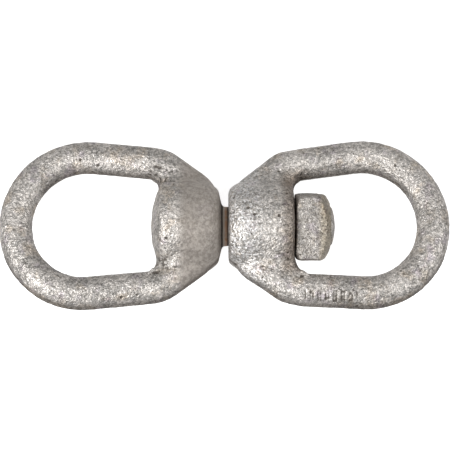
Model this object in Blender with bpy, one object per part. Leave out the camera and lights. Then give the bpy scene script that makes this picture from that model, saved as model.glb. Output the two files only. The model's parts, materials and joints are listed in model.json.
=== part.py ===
"""Anchor swivel with two eyes, forged from 10 mm (3/8 in) stock and hot-dip galvanised.

Three solid pieces: an eye with a bored hub, an eye with a shank that turns in that bore, and a
square nut locked on the shank's peened end.

Frame: +Z up, +X along the swivel axis, origin on the surface that the swivel lies on, under
the middle of its length. The bored eye is at +X. Each hub and the +Y arm of each eye touch the
surface, so both eyes are rolled about X and their -Y arms stand clear of it.
"""
import math

import bmesh
import bpy
from mathutils import Vector

# Driving dimensions, in metres. In an eye's own frame, u runs outwards along the swivel axis
# from the middle of the swivel, v runs across the eye in its plane towards the arm that touches
# the surface, and r is from the axis.
WIRE_RADIUS = 0.0050
HALF_LENGTH = 0.0683
BOW_LENGTH = 0.0210
BOW_HALF_WIDTH = 0.0222
ARM_TAPER = math.radians(5.7)
SHOULDER_SLOPE = math.radians(37.8)
SHOULDER_U = 0.0193
SHOULDER_BEND = 0.0090
HUB_BAR_U = 0.0070
HUB_BAR_BEND = 0.0056

# Neither forging is quite true: its ring is shifted along v and leans in its own plane.
BORED_RING_SHIFT = -0.0011
BORED_RING_LEAN = math.radians(2.6)
SHANK_RING_SHIFT = 0.0006
SHANK_RING_LEAN = 0.0

HUB_RADIUS = 0.0136
HUB_END_RADIUS = 0.0112
HUB_CONE_END_U = 0.0047
HUB_CONE_BLEND = 0.0030
HUB_RIM_FILLET = 0.0020
BORED_HUB_START_U = 0.0012
BORED_HUB_FACE_U = 0.0209
SHANK_HUB_START_U = 0.0007
SHANK_HUB_CORNER_U = 0.0019
SHANK_HUB_CROWN_U = 0.0223
SHANK_HUB_CROWN_RADIUS = 0.0297
WEB_HALF_THICKNESS = 0.0045
WEB_SETBACK = 0.0003
WEB_FILLET = 0.0028

SHANK_RADIUS = 0.0060
SHANK_ROOT_FILLET = 0.0008
BORE_CLEARANCE = 0.00045
BORE_CHAMFER = 0.0006
END_PLAY = 0.0005
MESH_GAP = 0.0003

NUT_ACROSS_FLATS = 0.0193
NUT_EDGE_ROUNDING = 0.0009
NUT_HEIGHT = 0.0120
NUT_CROWN_RADIUS = 0.0175
NUT_CORNER_SLOPE = math.radians(27)
NUT_BEARING_RADIUS = 0.0112
NUT_BEARING_CHAMFER = 0.0013
NUT_TURN = math.radians(4)
THREAD_RADIUS = 0.0048
PEEN_RADIUS = 0.0062
PEEN_DEPTH = 0.0013

WIRE_SIDES = 20
TURNED_SIDES = 48
BOW_SEGMENTS = 27
ARM_SEGMENTS = 4
BEND_SEGMENTS = 5
CORNER_SEGMENTS = 3

# Values that follow from the driving dimensions.
BOW_CENTRE_U = HALF_LENGTH - WIRE_RADIUS - BOW_LENGTH
AXIS_HEIGHT = HUB_RADIUS
NUT_BEARING_U = BORED_HUB_FACE_U + END_PLAY
NUT_TOP_U = NUT_BEARING_U + NUT_HEIGHT
BORE_RADIUS = SHANK_RADIUS + BORE_CLEARANCE


def clear_scene():
    for scene_object in list(bpy.data.objects):
        bpy.data.objects.remove(scene_object, do_unlink=True)


def make_material(name, colour, roughness, metallic):
    material = bpy.data.materials.new(name)
    material.use_nodes = True
    shader = material.node_tree.nodes["Principled BSDF"]
    shader.inputs["Base Color"].default_value = (*colour, 1.0)
    shader.inputs["Roughness"].default_value = roughness
    shader.inputs["Metallic"].default_value = metallic
    return material


def galvanised_forging():
    return make_material("galvanised_forging", (0.42, 0.40, 0.38), 0.5, 1.0)


def galvanised_shank_forging():
    return make_material("galvanised_shank_forging", (0.38, 0.36, 0.34), 0.5, 1.0)


def galvanised_nut():
    return make_material("galvanised_nut", (0.40, 0.37, 0.34), 0.55, 1.0)


def new_object(name, builder, material=None):
    """Make an object of a bmesh, with its faces turned outwards and smooth round sides."""
    bmesh.ops.recalc_face_normals(builder, faces=builder.faces)
    mesh = bpy.data.meshes.new(name)
    builder.to_mesh(mesh)
    builder.free()
    mesh.shade_smooth()
    mesh.set_sharp_from_angle(angle=math.radians(35))
    if material:
        mesh.materials.append(material)
    made = bpy.data.objects.new(name, mesh)
    bpy.context.scene.collection.objects.link(made)
    return made


def combine(target, tool, operation):
    """Join or cut target with tool, which shares its frame and isn't a piece itself."""
    tool.parent = target
    tool.hide_render = True
    tool.display_type = "WIRE"
    modifier = target.modifiers.new(tool.name, "BOOLEAN")
    modifier.operation = operation
    modifier.solver = "EXACT"
    modifier.object = tool


def fillet(before, corner, after, radius, segments):
    """Points of the arc that rounds a corner of a flat outline."""
    corner = Vector(corner)
    to_before = (Vector(before) - corner).normalized()
    to_after = (Vector(after) - corner).normalized()
    half_angle = to_before.angle(to_after) / 2
    centre = corner + (to_before + to_after).normalized() * radius / math.sin(half_angle)
    start = corner + to_before * radius / math.tan(half_angle)
    end = corner + to_after * radius / math.tan(half_angle)
    points = []
    for step in range(segments + 1):
        spoke = (start - centre).slerp(end - centre, step / segments)
        points.append(tuple(centre + spoke.normalized() * radius))
    return points


def rounded_outline(corners, radii, segments):
    """An open outline through the corners, each rounded by its own radius (0 keeps it sharp)."""
    outline = [corners[0]]
    for index in range(1, len(corners) - 1):
        if radii[index]:
            before, corner, after = corners[index - 1:index + 2]
            outline += fillet(before, corner, after, radii[index], segments)
        else:
            outline.append(corners[index])
    outline.append(corners[-1])
    return outline


def add_turned(builder, profile, sides):
    """Turn a profile of (u, r) points, closed on the axis at both ends, about the X axis."""
    rings = []
    for u, r in profile:
        if r > 0:
            turns = [2 * math.pi * side / sides for side in range(sides)]
            ring = [builder.verts.new((u, r * math.cos(a), r * math.sin(a))) for a in turns]
        else:
            ring = [builder.verts.new((u, 0, 0))]
        rings.append(ring)
    for first, second in zip(rings, rings[1:]):
        for side in range(sides):
            after = (side + 1) % sides
            if len(first) == 1:
                builder.faces.new((first[0], second[side], second[after]))
            elif len(second) == 1:
                builder.faces.new((first[side], second[0], first[after]))
            else:
                builder.faces.new((first[side], second[side], second[after], first[after]))


def crown_u(r):
    """Where the domed crown of the nut and of the peened tip lies, at a radius."""
    return NUT_TOP_U - NUT_CROWN_RADIUS + math.sqrt(NUT_CROWN_RADIUS ** 2 - r ** 2)


def turned_object(name, profile, material=None):
    builder = bmesh.new()
    add_turned(builder, profile, TURNED_SIDES)
    return new_object(name, builder, material)


def extruded_object(name, outline, half_thickness, direction):
    """A slab with a flat outline. Its thickness runs along Z, or along X for a nut."""
    builder = bmesh.new()
    near = [builder.verts.new(direction(a, b, -half_thickness)) for a, b in outline]
    far = [builder.verts.new(direction(a, b, half_thickness)) for a, b in outline]
    builder.faces.new(near)
    builder.faces.new(far)
    for index in range(len(outline)):
        after = (index + 1) % len(outline)
        builder.faces.new((near[index], near[after], far[after], far[index]))
    return new_object(name, builder)


def set_ring(outline, shift, lean):
    """Shift an eye's outline along v and turn it about the middle of the swivel."""
    cosine, sine = math.cos(lean), math.sin(lean)
    return [(u * cosine - v * sine, v * cosine + u * sine + shift) for u, v in outline]


def roll_to_rest(shift, lean):
    """The roll about the swivel axis that brings an eye's +v arm down to the surface."""
    reach = math.hypot(BOW_HALF_WIDTH * math.cos(lean), BOW_LENGTH * math.sin(lean))
    reach += BOW_CENTRE_U * math.sin(lean) + shift
    return math.asin((HUB_RADIUS - WIRE_RADIUS) / reach)


def eye_path():
    """The wire's closed centreline: hub bar, shoulder, arm and bow, then the mirrored half.

    The bow has an odd number of segments, so a flat facet lies across its crown.
    """
    lean = math.atan(BOW_LENGTH / BOW_HALF_WIDTH * math.tan(ARM_TAPER))
    arm_end = (BOW_CENTRE_U - BOW_LENGTH * math.sin(lean), BOW_HALF_WIDTH * math.cos(lean))
    shoulder_v = arm_end[1] - (arm_end[0] - SHOULDER_U) * math.tan(ARM_TAPER)
    shoulder = (SHOULDER_U, shoulder_v)
    bar_end = (HUB_BAR_U, shoulder_v - (SHOULDER_U - HUB_BAR_U) * math.tan(SHOULDER_SLOPE))
    half = fillet((HUB_BAR_U, 0), bar_end, shoulder, HUB_BAR_BEND, BEND_SEGMENTS)
    half += fillet(bar_end, shoulder, arm_end, SHOULDER_BEND, BEND_SEGMENTS)
    for step in range(1, ARM_SEGMENTS):
        point = Vector(half[-1]).lerp(Vector(arm_end), 1 / (ARM_SEGMENTS + 1 - step))
        half.append(tuple(point))
    start = math.pi / 2 + lean
    for step in range((BOW_SEGMENTS + 1) // 2):
        turn = start - 2 * start * step / BOW_SEGMENTS
        across = BOW_HALF_WIDTH * math.sin(turn)
        half.append((BOW_CENTRE_U + BOW_LENGTH * math.cos(turn), across))
    return half + [(u, -v) for u, v in reversed(half)]


def wire_ring(name, material, shift, lean):
    """Round wire swept along the eye's centreline, mitred at each station."""
    path = [Vector(point) for point in set_ring(eye_path(), shift, lean)]
    builder = bmesh.new()
    rings = []
    for index, point in enumerate(path):
        before = (point - path[index - 1]).normalized()
        after = (path[(index + 1) % len(path)] - point).normalized()
        along = (before + after).normalized()
        outward = Vector((-along.y, along.x))
        stretch = 1 / math.cos(before.angle(after) / 2)
        ring = []
        for side in range(WIRE_SIDES):
            angle = 2 * math.pi * (side + 0.5) / WIRE_SIDES
            in_plane = point + outward * (WIRE_RADIUS * math.cos(angle) * stretch)
            ring.append(builder.verts.new((in_plane.x, in_plane.y, WIRE_RADIUS * math.sin(angle))))
        rings.append(ring)
    for index, ring in enumerate(rings):
        following = rings[(index + 1) % len(rings)]
        for side in range(WIRE_SIDES):
            after = (side + 1) % WIRE_SIDES
            builder.faces.new((ring[side], ring[after], following[after], following[side]))
    return new_object(name, builder, material)


def hub_web(name, face_u, shift, lean):
    """The web that fills the inner corners between the hub's face and the two arms."""
    arm_inner_v = BOW_HALF_WIDTH - WIRE_RADIUS - (BOW_CENTRE_U - face_u) * math.tan(ARM_TAPER)
    corner = (face_u, arm_inner_v + MESH_GAP)
    arm_point = (face_u + 2 * WEB_FILLET, arm_inner_v + 3 * MESH_GAP)
    half = fillet((face_u, 0), corner, arm_point, WEB_FILLET, BEND_SEGMENTS)
    half.append((face_u + 1.5 * WEB_FILLET, arm_inner_v + WIRE_RADIUS / 2))
    half.append((SHOULDER_U - WIRE_RADIUS, arm_inner_v))
    half.append((HUB_BAR_U, WIRE_RADIUS))
    outline = set_ring(half + [(u, -v) for u, v in reversed(half)], shift, lean)
    return extruded_object(name, outline, WEB_HALF_THICKNESS, lambda u, v, z: (u, v, z))


def bored_hub_profile():
    corners = [
        (BORED_HUB_START_U, 0),
        (BORED_HUB_START_U, HUB_END_RADIUS),
        (HUB_CONE_END_U, HUB_RADIUS),
        (BORED_HUB_FACE_U, HUB_RADIUS),
        (BORED_HUB_FACE_U, 0),
    ]
    radii = (0, HUB_RIM_FILLET, HUB_CONE_BLEND, HUB_RIM_FILLET, 0)
    return rounded_outline(corners, radii, CORNER_SEGMENTS)


def shank_hub_profile():
    """The peened tip, the shank and the hub of the shank eye, turned as one."""
    crown_centre = SHANK_HUB_CROWN_U - SHANK_HUB_CROWN_RADIUS
    crown = []
    for r in (HUB_RADIUS, HUB_RADIUS * 0.7, HUB_RADIUS * 0.4, 0):
        crown.append((crown_centre + math.sqrt(SHANK_HUB_CROWN_RADIUS ** 2 - r ** 2), r))
    shoulder_u = NUT_BEARING_U - MESH_GAP
    corners = [
        (-NUT_TOP_U, 0),
        (-crown_u(PEEN_RADIUS * 0.6), PEEN_RADIUS * 0.6),
        (-crown_u(PEEN_RADIUS), PEEN_RADIUS),
        (-crown_u(PEEN_RADIUS) + PEEN_DEPTH, THREAD_RADIUS),
        (-shoulder_u, THREAD_RADIUS),
        (-shoulder_u, SHANK_RADIUS),
        (SHANK_HUB_START_U, SHANK_RADIUS),
        (SHANK_HUB_CORNER_U, HUB_END_RADIUS),
        (HUB_CONE_END_U, HUB_RADIUS),
        *crown,
    ]
    radii = [0] * len(corners)
    radii[6] = SHANK_ROOT_FILLET
    radii[7] = HUB_RIM_FILLET
    radii[8] = HUB_CONE_BLEND
    radii[9] = HUB_RIM_FILLET
    return rounded_outline(corners, radii, CORNER_SEGMENTS)


def bore_profile():
    """The cutter of the running bore, with a small countersink at each mouth."""
    mouth = BORE_RADIUS + BORE_CHAMFER
    past = WIRE_RADIUS
    return [
        (BORED_HUB_START_U - past, 0),
        (BORED_HUB_START_U - past, mouth),
        (BORED_HUB_START_U, mouth),
        (BORED_HUB_START_U + BORE_CHAMFER, BORE_RADIUS),
        (BORED_HUB_FACE_U - BORE_CHAMFER, BORE_RADIUS),
        (BORED_HUB_FACE_U, mouth),
        (BORED_HUB_FACE_U + past, mouth),
        (BORED_HUB_FACE_U + past, 0),
    ]


def nut_round_profile():
    """The turned shape that rounds the nut's two ends: a chamfer, a cone and a domed crown."""
    corner_radius = NUT_ACROSS_FLATS * math.sqrt(0.5)
    half_flat = NUT_ACROSS_FLATS / 2
    cone_drop = (corner_radius - half_flat) * math.tan(NUT_CORNER_SLOPE)
    return [
        (NUT_BEARING_U, 0),
        (NUT_BEARING_U, NUT_BEARING_RADIUS),
        (NUT_BEARING_U + NUT_BEARING_CHAMFER, corner_radius),
        (crown_u(half_flat) - cone_drop, corner_radius),
        (crown_u(half_flat), half_flat),
        (crown_u(half_flat * 0.8), half_flat * 0.8),
        (crown_u(half_flat * 0.6), half_flat * 0.6),
        (crown_u(half_flat * 0.4), half_flat * 0.4),
        (NUT_TOP_U, 0),
    ]


def nut_bore_profile():
    """The cutter of the nut's hole, which the thread and the peened tip fill but for a gap."""
    thread_hole = THREAD_RADIUS + MESH_GAP
    peen_hole = PEEN_RADIUS + MESH_GAP
    peen_u = crown_u(PEEN_RADIUS) - MESH_GAP
    return [
        (NUT_BEARING_U - WIRE_RADIUS, 0),
        (NUT_BEARING_U - WIRE_RADIUS, thread_hole),
        (peen_u - PEEN_DEPTH, thread_hole),
        (peen_u, peen_hole),
        (NUT_TOP_U + WIRE_RADIUS, peen_hole),
        (NUT_TOP_U + WIRE_RADIUS, 0),
    ]


def make_bored_eye():
    """The eye at +X: wire ring, web and turned hub in one forging, bored for the shank."""
    ring = (BORED_RING_SHIFT, BORED_RING_LEAN)
    eye = wire_ring("bored_eye", galvanised_forging(), *ring)
    combine(eye, turned_object("bored_hub", bored_hub_profile()), "UNION")
    combine(eye, hub_web("bored_hub_web", BORED_HUB_FACE_U - WEB_SETBACK, *ring), "UNION")
    combine(eye, turned_object("hub_bore", bore_profile()), "DIFFERENCE")
    eye.location = (0, 0, AXIS_HEIGHT)
    eye.rotation_euler = (-roll_to_rest(*ring), 0, 0)
    return eye


def make_shank_eye(swivel_axis):
    """The eye at -X, with the shank that runs through the other hub forged in one."""
    ring = (SHANK_RING_SHIFT, SHANK_RING_LEAN)
    eye = wire_ring("shank_eye", galvanised_shank_forging(), *ring)
    web_face = SHANK_HUB_CROWN_U - SHANK_HUB_CROWN_RADIUS
    web_face += math.sqrt(SHANK_HUB_CROWN_RADIUS ** 2 - HUB_RADIUS ** 2)
    combine(eye, turned_object("shank_hub", shank_hub_profile()), "UNION")
    combine(eye, hub_web("shank_hub_web", web_face, *ring), "UNION")
    eye.parent = swivel_axis
    eye.rotation_euler = (0, math.pi, 0)
    return eye


def make_square_nut(swivel_axis):
    """The square nut on the shank's end, which turns with the shank eye."""
    half_flat = NUT_ACROSS_FLATS / 2
    outline = []
    for quarter in range(4):
        corner = Vector((half_flat, half_flat))
        before = Vector((half_flat, -half_flat))
        after = Vector((-half_flat, half_flat))
        for y, z in fillet(before, corner, after, NUT_EDGE_ROUNDING, CORNER_SEGMENTS):
            turn = quarter * math.pi / 2
            turned_y = y * math.cos(turn) - z * math.sin(turn)
            turned_z = y * math.sin(turn) + z * math.cos(turn)
            outline.append((turned_y, turned_z))
    middle_u = (NUT_BEARING_U + NUT_TOP_U) / 2
    nut = extruded_object(
        "square_nut", outline, NUT_HEIGHT, lambda y, z, x: (middle_u + x, y, z)
    )
    nut.data.materials.append(galvanised_nut())
    combine(nut, turned_object("nut_ends", nut_round_profile()), "INTERSECT")
    combine(nut, turned_object("nut_hole", nut_bore_profile()), "DIFFERENCE")
    nut.parent = swivel_axis
    nut.rotation_euler = (NUT_TURN - swivel_axis.rotation_euler.x, 0, 0)
    return nut


clear_scene()
make_bored_eye()
turning_body = bpy.data.objects.new("swivel_axis", None)
bpy.context.scene.collection.objects.link(turning_body)
turning_body.location = (0, 0, AXIS_HEIGHT)
turning_body.rotation_euler = (-roll_to_rest(SHANK_RING_SHIFT, SHANK_RING_LEAN), 0, 0)
make_shank_eye(turning_body)
make_square_nut(turning_body)
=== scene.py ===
import json
import math

import bmesh
import bpy
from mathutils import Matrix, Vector
from mathutils.bvhtree import BVHTree


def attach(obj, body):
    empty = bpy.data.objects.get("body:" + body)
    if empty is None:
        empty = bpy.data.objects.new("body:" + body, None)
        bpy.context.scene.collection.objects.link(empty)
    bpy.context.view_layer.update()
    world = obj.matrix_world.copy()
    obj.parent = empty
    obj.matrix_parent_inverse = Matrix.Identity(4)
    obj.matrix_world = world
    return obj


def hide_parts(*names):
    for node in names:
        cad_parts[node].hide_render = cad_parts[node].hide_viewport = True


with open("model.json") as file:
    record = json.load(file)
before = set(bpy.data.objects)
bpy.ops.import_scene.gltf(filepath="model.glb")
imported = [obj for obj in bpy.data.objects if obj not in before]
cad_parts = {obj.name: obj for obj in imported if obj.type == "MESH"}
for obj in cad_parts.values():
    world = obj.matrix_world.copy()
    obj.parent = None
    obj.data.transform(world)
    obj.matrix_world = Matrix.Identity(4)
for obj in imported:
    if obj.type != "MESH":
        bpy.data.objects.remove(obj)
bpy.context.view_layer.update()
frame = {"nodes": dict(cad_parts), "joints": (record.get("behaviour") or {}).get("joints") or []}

MM = 0.001
MM_PER_METRE = 1000.0
swivel_joint = frame["joints"][0]
AXIS_HEIGHT = swivel_joint["pos_m"][2]


# ---------------------------------------------------------------- floor, light and camera
# A white sheet under the swivel, two soft lights from the left, a weak fill from the right,
# and a camera that looks straight down from about arm's length.

CAMERA_DISTANCE = 0.48
FRAMED_HALF_LENGTH = 68.2 * MM


def area_light(name, place, target, size, power):
    """A square soft light, aimed at a point."""
    lamp = bpy.data.lights.new(name, "AREA")
    lamp.shape = "SQUARE"
    lamp.size = size
    lamp.energy = power
    holder = bpy.data.objects.new(name, lamp)
    holder.location = place
    holder.rotation_euler = (Vector(target) - Vector(place)).to_track_quat("-Z", "Y").to_euler()
    bpy.context.scene.collection.objects.link(holder)


def white_floor():
    """A sheet of white paper just under the swivel, which its metal doesn't mirror."""
    builder = bmesh.new()
    bmesh.ops.create_grid(builder, x_segments=1, y_segments=1, size=2.0)
    mesh = bpy.data.meshes.new("floor")
    builder.to_mesh(mesh)
    builder.free()
    paper = bpy.data.materials.new("white_paper")
    paper.use_nodes = True
    shader = paper.node_tree.nodes["Principled BSDF"]
    shader.inputs["Base Color"].default_value = (0.8, 0.8, 0.8, 1)
    shader.inputs["Roughness"].default_value = 0.9
    shader.inputs["Specular IOR Level"].default_value = 0.1
    shader.inputs["Emission Color"].default_value = (1, 1, 1, 1)
    shader.inputs["Emission Strength"].default_value = 0.75
    mesh.materials.append(paper)
    floor = bpy.data.objects.new("floor", mesh)
    floor.location = (0, 0, -0.2 * MM)
    floor.visible_glossy = False
    bpy.context.scene.collection.objects.link(floor)


white_floor()
middle = Vector((0, 0, AXIS_HEIGHT))
area_light("key_light", (-0.40, -0.24, 0.52), middle, 0.30, 2.4)
area_light("left_light", (-0.47, 0.10, 0.44), middle, 0.24, 1.0)
area_light("fill_light", (0.45, 0.06, 0.46), middle, 0.40, 1.5)

world = bpy.data.worlds.new("studio")
world.use_nodes = True
world.node_tree.nodes["Background"].inputs["Color"].default_value = (1, 1, 1, 1)
world.node_tree.nodes["Background"].inputs["Strength"].default_value = 0.47
bpy.context.scene.world = world
bpy.context.scene.view_settings.view_transform = "Standard"

lens = bpy.data.cameras.new("camera")
lens.sensor_width = 36
lens.lens = lens.sensor_width / 2 * CAMERA_DISTANCE / FRAMED_HALF_LENGTH
camera = bpy.data.objects.new("camera", lens)
camera.location = (0.15 * MM, 0.45 * MM, AXIS_HEIGHT + CAMERA_DISTANCE)
bpy.context.scene.collection.objects.link(camera)
bpy.context.scene.camera = camera


# ---------------------------------------------------------------- bored eye
# The eye that holds the nut: a drop forging in steel, with a round bow and a thick hub that
# is bored for the shank. It is dipped in molten zinc after forging, so every surface is
# rough: lumps of zinc, fine grain, pits and a faint line where the two dies met.

FINE_VOXEL = 0.29 * MM
SOFTENING_ROUNDS = 20
REMESH_ROUNDS = 4
FILLET_PASSES = 6
RIM_ROUNDS = 70
HOLLOW_ROUNDS = 10


def fine_skin(node, name, voxel, rounds):
    """A fine even mesh of a CAD solid, with its facets and inner corners softened."""
    builder = bmesh.new()
    builder.from_mesh(frame["nodes"][node].data)
    bmesh.ops.remove_doubles(builder, verts=builder.verts, dist=0.001 * MM)
    mesh = bpy.data.meshes.new(name)
    builder.to_mesh(mesh)
    builder.free()
    mesh.materials.clear()
    skin = bpy.data.objects.new(name, mesh)
    bpy.context.scene.collection.objects.link(skin)
    return even_mesh(skin, voxel, rounds)


def even_mesh(piece, voxel, rounds):
    """Mesh a piece again in even squares, and smooth it a little."""
    remesh = piece.modifiers.new("even_mesh", "REMESH")
    remesh.mode = "VOXEL"
    remesh.voxel_size = voxel
    soften = piece.modifiers.new("soft_edges", "SMOOTH")
    soften.factor = 0.5
    soften.iterations = rounds
    return make_plain(piece)


def make_plain(piece):
    """Turn a piece and its modifiers into one plain mesh."""
    evaluated = piece.evaluated_get(bpy.context.evaluated_depsgraph_get())
    mesh = bpy.data.meshes.new_from_object(evaluated)
    piece.modifiers.clear()
    piece.data = mesh
    mesh.name = piece.name
    return piece


def add_node(tree, kind, inputs=None, **settings):
    """Add a node, set its properties, and fill or link its inputs by name or number."""
    node = tree.nodes.new(kind)
    for setting, value in settings.items():
        setattr(node, setting, value)
    for key, value in (inputs or {}).items():
        if isinstance(value, bpy.types.NodeSocket):
            tree.links.new(value, node.inputs[key])
        else:
            node.inputs[key].default_value = value
    return node


def calc(tree, operation, first, second=0.0, third=0.0):
    """Arithmetic on single numbers. Only MULTIPLY_ADD uses the third."""
    inputs = {0: first, 1: second}
    if operation == "MULTIPLY_ADD":
        inputs[2] = third
    return add_node(tree, "ShaderNodeMath", inputs, operation=operation).outputs[0]


def product(tree, *factors):
    """Several numbers multiplied together."""
    result = factors[0]
    for factor in factors[1:]:
        result = calc(tree, "MULTIPLY", result, factor)
    return result


def vector_calc(tree, operation, first, second):
    """Vector arithmetic. A scaled vector takes its length factor second."""
    inputs = {0: first, "Scale" if operation == "SCALE" else 1: second}
    node = add_node(tree, "ShaderNodeVectorMath", inputs, operation=operation)
    return node.outputs["Value" if operation == "DOT_PRODUCT" else "Vector"]


def ramp(tree, value, start, end, low=0.0, high=1.0):
    """Map a value smoothly from start..end to low..high."""
    inputs = {"Value": value, "From Min": start, "From Max": end, "To Min": low, "To Max": high}
    node = add_node(tree, "ShaderNodeMapRange", inputs, interpolation_type="SMOOTHSTEP")
    return node.outputs[0]


def noise(tree, place, size, seed, detail=2.0, roughness=0.5):
    """Noise from 0 to 1 whose features are about size millimetres apart."""
    scale = calc(tree, "DIVIDE", 1.0, size)
    inputs = {"Vector": place, "W": seed, "Scale": scale, "Detail": detail, "Roughness": roughness}
    return add_node(tree, "ShaderNodeTexNoise", inputs, noise_dimensions="4D").outputs[0]


def new_tree(name, inputs):
    """An empty geometry tree with a geometry input, named inputs and a geometry output."""
    tree = bpy.data.node_groups.new(name, "GeometryNodeTree")
    tree.interface.new_socket("Geometry", in_out="INPUT", socket_type="NodeSocketGeometry")
    for label, kind, value in inputs:
        socket = tree.interface.new_socket(label, in_out="INPUT", socket_type="NodeSocket" + kind)
        if value is not None:
            socket.default_value = value
    tree.interface.new_socket("Geometry", in_out="OUTPUT", socket_type="NodeSocketGeometry")
    return tree


def end_tree(tree, geometry, material):
    """Make the geometry real, give it its material and send it out."""
    geometry = add_node(tree, "GeometryNodeRealizeInstances", {0: geometry}).outputs[0]
    geometry = add_node(tree, "GeometryNodeSetMaterial",
                        {"Geometry": geometry, "Material": material}).outputs[0]
    out = tree.nodes.new("NodeGroupOutput")
    tree.links.new(geometry, out.inputs[0])


def run_tree(piece, tree, values):
    """Put a geometry tree on a piece, with its inputs set by identifier, and make it plain."""
    modifier = piece.modifiers.new(tree.name, "NODES")
    modifier.node_group = tree
    sockets = {item.name: item.identifier for item in tree.interface.items_tree
               if item.in_out == "INPUT"}
    for label, value in values.items():
        modifier[sockets[label]] = value
    return make_plain(piece)


def even_out(tree, geometry, rounds, share, fill_only):
    """Draw the surface towards its own average, or only fill the places that lie below it."""
    position = tree.nodes.new("GeometryNodeInputPosition").outputs[0]
    normal = tree.nodes.new("GeometryNodeInputNormal").outputs[0]
    blurred = add_node(tree, "GeometryNodeBlurAttribute", {"Value": position, "Iterations": rounds},
                       data_type="FLOAT_VECTOR").outputs[0]
    pull = vector_calc(tree, "SUBTRACT", blurred, position)
    if fill_only:
        depth = calc(tree, "MULTIPLY", vector_calc(tree, "DOT_PRODUCT", pull, normal), MM_PER_METRE)
        share = calc(tree, "MULTIPLY", share, ramp(tree, depth, 0.0, 0.10))
    offset = vector_calc(tree, "SCALE", pull, share)
    moved = add_node(tree, "GeometryNodeSetPosition", {"Geometry": geometry, "Offset": offset})
    return moved.outputs[0]


def keep(tree, geometry, name, value):
    """Store a number on every point, for the material to read."""
    stored = add_node(tree, "GeometryNodeStoreNamedAttribute", {
        "Geometry": geometry, "Name": name, "Value": value,
    }, data_type="FLOAT", domain="POINT")
    return stored.outputs[0]


def near_marks(tree, marks, radius, element):
    """1 on a mark's middle, falling to 0 at its radius in millimetres."""
    shape = add_node(tree, "GeometryNodeObjectInfo", {"Object": marks}).outputs["Geometry"]
    near = add_node(tree, "GeometryNodeProximity", {0: shape}, target_element=element)
    away = calc(tree, "MULTIPLY", near.outputs["Distance"], MM_PER_METRE)
    return ramp(tree, away, radius, calc(tree, "MULTIPLY", radius, 0.5))


def cylinder_places(tree, axis_height):
    """A point's place in millimetres, and its distances along and from the swivel axis."""
    position = tree.nodes.new("GeometryNodeInputPosition").outputs[0]
    place = vector_calc(tree, "SCALE", position, MM_PER_METRE)
    axes = add_node(tree, "ShaderNodeSeparateXYZ", {0: place}).outputs
    above = calc(tree, "SUBTRACT", axes["Z"], calc(tree, "MULTIPLY", axis_height, MM_PER_METRE))
    from_axis = calc(tree, "POWER", calc(tree, "ADD", calc(tree, "POWER", above, 2.0),
                     calc(tree, "POWER", axes["Y"], 2.0)), 0.5)
    return place, axes, above, from_axis


def fillet_tree():
    """Fill the hollows between a hub and its arms as the dies do, and round the hub's rim."""
    tree = new_tree("hub_fillets", [
        ("Fillet rounds", "Int", 260),
        ("Rim share", "Float", 0.0),
        ("Axis height", "Float", 0.0),
        ("Finish", "Material", None),
    ])
    given = tree.nodes.new("NodeGroupInput").outputs
    _, axes, _, from_axis = cylinder_places(tree, given["Axis height"])
    along = calc(tree, "ABSOLUTE", axes["X"])
    geometry = given["Geometry"]
    beside_hub = product(tree, ramp(tree, along, 2.5, 5.0), ramp(tree, along, 26.0, 21.0))
    for _ in range(FILLET_PASSES):
        geometry = even_out(tree, geometry, given["Fillet rounds"], beside_hub, True)
    rim = product(tree, ramp(tree, axes["X"], 17.0, 18.6), ramp(tree, axes["X"], 23.0, 21.6),
                  ramp(tree, from_axis, 8.5, 10.0), given["Rim share"])
    geometry = even_out(tree, geometry, RIM_ROUNDS, rim, False)
    end_tree(tree, geometry, given["Finish"])
    return tree


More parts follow.
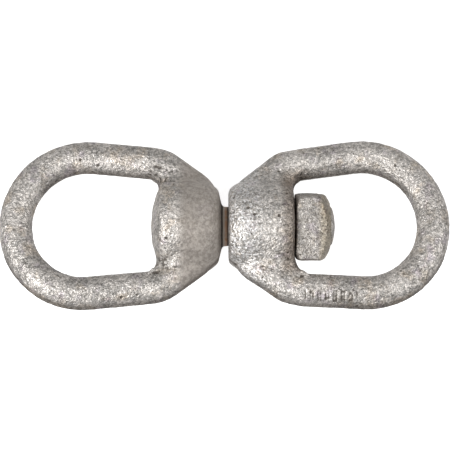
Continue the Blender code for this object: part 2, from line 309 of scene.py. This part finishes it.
def finish_places(tree, given):
    """Where the finish and the painted light and shade change, as shares from 0 to 1, and the die
    line.

    The shares are kept as attributes for the material: "side", 1 on the matt sides, which the
    material also paints darker as shade; "worn", 1 on a smooth hub; "bright", 1 on fresh
    zinc at the bored hub's end, given more white flecks as a painted highlight; "bare", 1 on the
    turning shank; "seam", 1 at the shank's two ends, painted near black, partly as
    shadow in the corners and partly as a dark joint; "stain", 1 on the hub's end beside the
    nut, painted darker as shade; "tan", 1 on the nut's crown.
    """
    _, axes, above, from_axis = cylinder_places(tree, given["Axis height"])
    along = calc(tree, "ABSOLUTE", axes["X"])
    tilted = calc(tree, "MULTIPLY", axes["Y"], calc(tree, "SINE", given["Eye roll"]))
    upright = calc(tree, "MULTIPLY", above, calc(tree, "COSINE", given["Eye roll"]))
    off_plane = calc(tree, "ABSOLUTE", calc(tree, "SUBTRACT", upright, tilted))
    outside = ramp(tree, from_axis, 9.0, 11.0)
    die_line = calc(tree, "MULTIPLY", ramp(tree, off_plane, 0.75, 0.25), outside)
    on_shank = product(tree, ramp(tree, axes["X"], -1.0, -0.7), ramp(tree, axes["X"], 24.0, 22.0),
                       ramp(tree, from_axis, 6.9, 6.5), given["Bare shank"])
    shank_end = calc(tree, "ADD", ramp(tree, axes["X"], -0.35, -0.65),
                     ramp(tree, axes["X"], 0.55, 0.95))
    near_shank = product(tree, ramp(tree, from_axis, 7.6, 6.9), ramp(tree, along, 3.0, 1.5),
                         given["Bare shank"])
    places = {
        # The sides along the die line: matt, and painted darker as shade.
        "side": calc(tree, "MULTIPLY", ramp(tree, off_plane, 2.8, 0.5), outside),
        "worn": calc(tree, "MULTIPLY", ramp(tree, along, 15.5, 11.5), given["Worn hub"]),
        # The bored hub's end at the gap: partly fresh white zinc, partly a painted highlight.
        "bright": calc(tree, "MULTIPLY", ramp(tree, along, 14.0, 6.0), given["Bright end"]),
        "bare": on_shank,
        # The shank's ends beside the hubs: partly painted shadow in the corners, partly a dark
        # joint.
        "seam": calc(tree, "MULTIPLY", shank_end, near_shank),
        # The bored hub's end beside the nut, painted darker as shade.
        "stain": product(tree, ramp(tree, axes["X"], 15.5, 19.0), ramp(tree, axes["X"], 27.0, 22.0),
                         ramp(tree, from_axis, 19.0, 15.0), given["Bright end"]),
        "tan": calc(tree, "MULTIPLY", ramp(tree, axes["X"], 27.5, 29.5), given["Tan crown"]),
    }
    return places, die_line


def waves(tree, given, place, label, seed_step, detail):
    """Noise either side of zero, with a tree's named height and size."""
    seed = calc(tree, "ADD", given["Seed"], seed_step)
    field = noise(tree, place, given[label + " size"], seed, detail)
    centred = calc(tree, "MULTIPLY_ADD", field, 2.0, -1.0)
    return calc(tree, "MULTIPLY", centred, given[label + " height"])


def small_pits(tree, given, place):
    """The depth of round pits, scattered about one pit spacing apart."""
    cell = add_node(tree, "ShaderNodeTexVoronoi", {
        "Vector": place,
        "W": calc(tree, "ADD", given["Seed"], 4.0),
        "Scale": calc(tree, "DIVIDE", 1.0, given["Pit spacing"]),
    }, voronoi_dimensions="4D")
    chosen = add_node(tree, "FunctionNodeSeparateColor", {0: cell.outputs["Color"]}).outputs[0]
    has_pit = calc(tree, "LESS_THAN", chosen, 0.35)
    pit_shape = ramp(tree, cell.outputs["Distance"], 0.30, 0.05)
    return product(tree, pit_shape, has_pit, given["Pit depth"])


def zinc_relief(tree, given, places, die_line):
    """How far in millimetres the zinc stands out from the plain forging."""
    place = cylinder_places(tree, given["Axis height"])[0]
    wave = waves(tree, given, place, "Wave", 1.0, 1.0)
    wave = calc(tree, "MULTIPLY", wave, calc(tree, "MULTIPLY_ADD", places["worn"], -0.6, 1.0))
    lump = waves(tree, given, place, "Lump", 2.0, 2.0)
    grain = waves(tree, given, place, "Grain", 3.0, 2.0)
    line = calc(tree, "MULTIPLY", die_line, given["Die line height"])
    mark = near_marks(tree, given["Raised marks"], given["Mark radius"], "EDGES")
    mark = calc(tree, "MULTIPLY", mark, given["Mark height"])
    deep = near_marks(tree, given["Deep pits"], given["Deep pit radius"], "POINTS")
    deep = calc(tree, "MULTIPLY", deep, given["Deep pit depth"])
    rough = calc(tree, "SUBTRACT", calc(tree, "ADD", lump, grain), small_pits(tree, given, place))
    rough = calc(tree, "MULTIPLY", rough, calc(tree, "MULTIPLY_ADD", places["worn"], -0.7, 1.0))
    rough = calc(tree, "MULTIPLY", rough, calc(tree, "MULTIPLY_ADD", places["bare"], -0.8, 1.0))
    relief = calc(tree, "SUBTRACT", rough, deep)
    for part in (wave, line, mark):
        relief = calc(tree, "ADD", relief, part)
    return relief


def rough_tree():
    """Roughen a piece as scale and hot zinc leave it: waves, lumps, grain, pits and marks.

    The attribute "hollow" keeps how far in millimetres a point lies below its surroundings.
    """
    tree = new_tree("rough_zinc", [
        ("Wave height", "Float", 0.16),
        ("Wave size", "Float", 9.0),
        ("Lump height", "Float", 0.11),
        ("Lump size", "Float", 2.6),
        ("Grain height", "Float", 0.14),
        ("Grain size", "Float", 1.1),
        ("Pit depth", "Float", 0.22),
        ("Pit spacing", "Float", 2.6),
        ("Die line height", "Float", 0.12),
        ("Worn hub", "Float", 0.0),
        ("Bright end", "Float", 0.0),
        ("Bare shank", "Float", 0.0),
        ("Tan crown", "Float", 0.0),
        ("Eye roll", "Float", 0.0),
        ("Axis height", "Float", 0.0),
        ("Raised marks", "Object", None),
        ("Mark radius", "Float", 0.6),
        ("Mark height", "Float", 0.3),
        ("Deep pits", "Object", None),
        ("Deep pit radius", "Float", 0.6),
        ("Deep pit depth", "Float", 0.3),
        ("Seed", "Float", 0.0),
        ("Finish", "Material", None),
    ])
    given = tree.nodes.new("NodeGroupInput").outputs
    position = tree.nodes.new("GeometryNodeInputPosition").outputs[0]
    normal = tree.nodes.new("GeometryNodeInputNormal").outputs[0]
    places, die_line = finish_places(tree, given)
    geometry = given["Geometry"]
    for name, share in places.items():
        geometry = keep(tree, geometry, name, share)
    relief = zinc_relief(tree, given, places, die_line)
    offset = vector_calc(tree, "SCALE", normal, calc(tree, "MULTIPLY", relief, MM))
    geometry = add_node(tree, "GeometryNodeSetPosition",
                        {"Geometry": geometry, "Offset": offset}).outputs[0]
    blurred = add_node(tree, "GeometryNodeBlurAttribute",
                       {"Value": position, "Iterations": HOLLOW_ROUNDS},
                       data_type="FLOAT_VECTOR").outputs[0]
    depth = vector_calc(tree, "DOT_PRODUCT", vector_calc(tree, "SUBTRACT", blurred, position),
                        normal)
    geometry = keep(tree, geometry, "hollow", calc(tree, "MULTIPLY", depth, MM_PER_METRE))
    geometry = add_node(tree, "GeometryNodeSetShadeSmooth", {0: geometry}).outputs[0]
    end_tree(tree, geometry, given["Finish"])
    return tree


def colour_mix(tree, share, first, second, blend="MIX"):
    """Lay the second colour over the first, as strongly as the share says."""
    node = add_node(tree, "ShaderNodeMix", {0: share, 6: first, 7: second}, data_type="RGBA",
                    blend_type=blend)
    return node.outputs[2]


def attribute(tree, label):
    """A share that a geometry tree has kept on the points."""
    return add_node(tree, "ShaderNodeAttribute", attribute_name=label).outputs["Fac"]


def mottled_zinc(tree, place, seed, grain, dark, light):
    """Dark and light zinc in grains and patches, tinted here and there, with white flecks, more of
    them at the bored hub's end as a painted highlight.
    """
    patch = ramp(tree, noise(tree, place, 7.0, seed, 2.0), 0.35, 0.65)
    tone = calc(tree, "MULTIPLY_ADD", patch, 0.30, calc(tree, "MULTIPLY", grain, 0.70))
    colour = colour_mix(tree, tone, dark, light)
    warm = ramp(tree, noise(tree, place, 4.5, seed + 3, 2.0), 0.50, 0.70, 0.0, 0.6)
    colour = colour_mix(tree, warm, colour, (0.93, 0.83, 0.70, 1), "MULTIPLY")
    cool = ramp(tree, noise(tree, place, 3.5, seed + 4, 2.0), 0.54, 0.72, 0.0, 0.6)
    colour = colour_mix(tree, cool, colour, (0.86, 0.80, 0.94, 1), "MULTIPLY")
    fleck = ramp(tree, noise(tree, place, 0.6, seed + 8, 2.0, 0.7), 0.40, 0.62)
    # The bored hub's end at the gap gets more white flecks: partly white zinc, partly a painted
    # highlight.
    white = calc(tree, "MULTIPLY_ADD", attribute(tree, "bright"), 0.6, 0.2)
    colour = colour_mix(tree, calc(tree, "MULTIPLY", white, fleck), colour, (0.95, 0.94, 0.94, 1))
    sand = ramp(tree, noise(tree, place, 0.38, seed + 9, 2.0, 0.7), 0.35, 0.65, 0.66, 1.25)
    return vector_calc(tree, "SCALE", colour, sand)


def rusty_shank(tree, place, seed):
    """Grey-brown steel on the shank eye's side, going over to rust towards the bored eye."""
    patch = ramp(tree, noise(tree, place, 1.6, seed + 6, 2.0), 0.42, 0.60)
    outward = add_node(tree, "ShaderNodeSeparateXYZ", {0: place}).outputs["X"]
    share = calc(tree, "MULTIPLY", ramp(tree, outward, -0.3, 0.4),
                 calc(tree, "MULTIPLY_ADD", patch, 0.4, 0.6))
    return colour_mix(tree, share, (0.50, 0.44, 0.38, 1), (0.44, 0.25, 0.15, 1))


def frosted_bump(tree, place, seed, worn):
    """Fine frost on the zinc, too small to be in the mesh, and weaker on a worn hub."""
    peel = noise(tree, place, 0.8, seed + 5, 1.0, 0.5)
    frost = noise(tree, place, 0.45, seed + 7, 2.0, 0.6)
    bump = add_node(tree, "ShaderNodeBump", {
        "Strength": calc(tree, "MULTIPLY_ADD", worn, -0.55, 1.0),
        "Distance": 0.24 * MM,
        "Height": calc(tree, "MULTIPLY_ADD", peel, 1.8, frost),
    })
    return bump.outputs[0]


def hot_dip_zinc(name, seed, dark=(0.25, 0.235, 0.215, 1), light=(0.80, 0.75, 0.70, 1)):
    """Rough galvanised finish: grey metal, matt and light grains, dirt in the hollows.

    A worn hub is smoother and browner, the sides along the die line are matt and painted darker
    as shade, the bored hub's end beside the nut is painted darker as shade, the shank's ends are
    painted near black, partly as shadow, and the bare shank is rusty steel.
    """
    material = bpy.data.materials.new(name)
    material.use_nodes = True
    tree = material.node_tree
    shader = tree.nodes["Principled BSDF"]
    coordinates = add_node(tree, "ShaderNodeTexCoord").outputs["Object"]
    place = vector_calc(tree, "SCALE", coordinates, MM_PER_METRE)
    worn = attribute(tree, "worn")
    bare = attribute(tree, "bare")
    grain = ramp(tree, noise(tree, place, 0.9, seed + 1, 3.0, 0.6), 0.36, 0.64)
    colour = mottled_zinc(tree, place, seed, grain, dark, light)
    hub_tone = colour_mix(tree, calc(tree, "MULTIPLY_ADD", grain, 0.4, 0.3),
                          (0.19, 0.165, 0.145, 1), (0.46, 0.415, 0.37, 1))
    colour = colour_mix(tree, calc(tree, "MULTIPLY", worn, 0.85), colour, hub_tone)
    # Painted shade: the wire's sides along the die line are darkened, as well as made rougher.
    matt_shaded_side = calc(tree, "MULTIPLY", attribute(tree, "side"), 0.70)
    colour = colour_mix(tree, matt_shaded_side, colour, (0.24, 0.22, 0.205, 1), "MULTIPLY")
    # Painted shade: the bored hub's end beside the nut is darkened as if shaded by the nut.
    stain = calc(tree, "MULTIPLY", attribute(tree, "stain"), 0.75)
    colour = colour_mix(tree, stain, colour, (0.50, 0.44, 0.39, 1), "MULTIPLY")
    tan = calc(tree, "MULTIPLY", attribute(tree, "tan"), 0.8)
    colour = colour_mix(tree, tan, colour, (1.0, 0.94, 0.79, 1), "MULTIPLY")
    dirt = ramp(tree, attribute(tree, "hollow"), 0.010, 0.065, 0.0, 0.85)
    dirt = calc(tree, "MULTIPLY", dirt, calc(tree, "MULTIPLY_ADD", worn, -0.8, 1.0))
    colour = colour_mix(tree, dirt, colour, (0.10, 0.085, 0.07, 1))
    colour = colour_mix(tree, bare, colour, rusty_shank(tree, place, seed))
    # The shank's ends beside the hubs are painted near black: partly painted shadow in the corners,
    # partly a dark joint.
    colour = colour_mix(tree, attribute(tree, "seam"), colour, (0.03, 0.025, 0.02, 1))
    tree.links.new(colour, shader.inputs["Base Color"])

    metallic = calc(tree, "MULTIPLY_ADD", bare, -0.5, 0.85)
    metallic = calc(tree, "MULTIPLY_ADD", worn, -0.3, metallic)
    tree.links.new(metallic, shader.inputs["Metallic"])
    speck = ramp(tree, noise(tree, place, 0.7, seed + 2, 2.0, 0.6), 0.54, 0.66)
    rough = calc(tree, "MULTIPLY_ADD", speck, -0.16, 0.46)
    for share, more in ((dirt, 0.25), (worn, 0.12), (matt_shaded_side, 0.30), (bare, 0.25)):
        rough = calc(tree, "MULTIPLY_ADD", share, more, rough)
    tree.links.new(rough, shader.inputs["Roughness"])
    tree.links.new(frosted_bump(tree, place, seed, worn), shader.inputs["Normal"])
    return material


def marks_object(name, points, edges):
    """Loose points or lines that a tree reads as the middles of marks."""
    mesh = bpy.data.meshes.new(name)
    mesh.from_pydata(points, edges, [])
    return bpy.data.objects.new(name, mesh)


def on_surface(surface, x, y):
    """The point of a surface straight under a place, in metres."""
    return Vector(surface.ray_cast(Vector((x, y, 0.1)), Vector((0, 0, -1)))[0])


hub_fillets = fillet_tree()
rough_zinc = rough_tree()

# The hub is thicker than the wire, so each eye rolls until its +Y arm rests as well.
WIRE_RADIUS = 5 * MM
ARM_REACH = 22.5 * MM
eye_roll = -math.asin((AXIS_HEIGHT - WIRE_RADIUS) / ARM_REACH)

bored_eye = fine_skin("bored_eye", "bored_eye_forging", FINE_VOXEL, SOFTENING_ROUNDS)
bored_eye_zinc = hot_dip_zinc("bored_eye_zinc", 11.0)
run_tree(bored_eye, hub_fillets, {
    "Rim share": 0.9, "Axis height": AXIS_HEIGHT, "Finish": bored_eye_zinc,
})
even_mesh(bored_eye, FINE_VOXEL, REMESH_ROUNDS)

# A row of plain raised bars on the upper side of the raised arm, and deep pits that the zinc
# has not filled, three on top of the hub and one on the bow.
BAR_COUNT = 7
BAR_START = 24.6 * MM
BAR_PITCH = 2.3 * MM
BAR_HALF_LENGTH = 1.5 * MM
BAR_MIDDLE = -20.0 * MM
ROW_SLOPE = 0.06
surface = BVHTree.FromObject(bored_eye, bpy.context.evaluated_depsgraph_get())
bar_ends = []
for number in range(BAR_COUNT):
    x = BAR_START + number * BAR_PITCH
    y = BAR_MIDDLE - number * BAR_PITCH * ROW_SLOPE
    bar_ends.append(on_surface(surface, x, y - BAR_HALF_LENGTH))
    bar_ends.append(on_surface(surface, x, y + BAR_HALF_LENGTH))
bars = marks_object("bar_lines", bar_ends, [(2 * n, 2 * n + 1) for n in range(BAR_COUNT)])
BORED_EYE_PITS = ((7.0, 5.6), (8.9, 3.7), (16.1, 3.4), (52.0, 18.6))
bored_eye_pits = marks_object(
    "bored_eye_pits", [on_surface(surface, x * MM, y * MM) for x, y in BORED_EYE_PITS], [])

run_tree(bored_eye, rough_zinc, {
    "Bright end": 1.0, "Eye roll": eye_roll, "Axis height": AXIS_HEIGHT,
    "Raised marks": bars, "Deep pits": bored_eye_pits,
    "Seed": 21.0, "Finish": bored_eye_zinc,
})
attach(bored_eye, "bored_eye")
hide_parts("bored_eye")


# ---------------------------------------------------------------- shank eye
# The other eye, a second forging whose hub carries the turning shank in one with it. The
# shank is rusty between the hubs, where turning has worn its zinc away.

shank_eye = fine_skin("shank_eye", "shank_eye_forging", FINE_VOXEL, SOFTENING_ROUNDS)
shank_eye_zinc = hot_dip_zinc("shank_eye_zinc", 31.0)
run_tree(shank_eye, hub_fillets, {"Axis height": AXIS_HEIGHT, "Finish": shank_eye_zinc})
even_mesh(shank_eye, FINE_VOXEL, REMESH_ROUNDS)
no_bars = marks_object("no_bars", [(0, 0, 1.0), (0, 0, 1.1)], [(0, 1)])
SHANK_EYE_PITS = ((-17.2, -3.5), (-44.0, 20.4), (-30.5, -21.0))
surface = BVHTree.FromObject(shank_eye, bpy.context.evaluated_depsgraph_get())
shank_eye_pits = marks_object(
    "shank_eye_pits", [on_surface(surface, x * MM, y * MM) for x, y in SHANK_EYE_PITS], [])
run_tree(shank_eye, rough_zinc, {
    "Worn hub": 1.0, "Bare shank": 1.0, "Eye roll": eye_roll, "Axis height": AXIS_HEIGHT,
    "Raised marks": no_bars, "Deep pits": shank_eye_pits,
    "Seed": 47.0, "Finish": shank_eye_zinc,
})
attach(shank_eye, "shank_eye")
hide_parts("shank_eye")


# ---------------------------------------------------------------- square nut
# The square nut inside the bored eye, forged in steel with a domed crown. It is screwed on
# the shank and locked by the shank's peened end, and is dipped in zinc with the rest. Its
# crown is a little tanner than its flats.

NUT_VOXEL = 0.20 * MM
NUT_SOFTENING_ROUNDS = 50
NUT_DARK = (0.21, 0.19, 0.17, 1)
NUT_LIGHT = (0.57, 0.53, 0.485, 1)
nut = fine_skin("square_nut", "square_nut_zinc", NUT_VOXEL, NUT_SOFTENING_ROUNDS)
run_tree(nut, rough_zinc, {
    "Tan crown": 1.0, "Wave height": 0.24, "Wave size": 6.0, "Lump height": 0.09,
    "Lump size": 2.2, "Grain height": 0.08, "Pit spacing": 2.2, "Die line height": 0.0,
    "Axis height": AXIS_HEIGHT,
    "Raised marks": no_bars, "Deep pits": no_bars,
    "Seed": 73.0, "Finish": hot_dip_zinc("nut_zinc", 51.0, NUT_DARK, NUT_LIGHT),
})
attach(nut, "shank_eye")
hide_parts("square_nut")
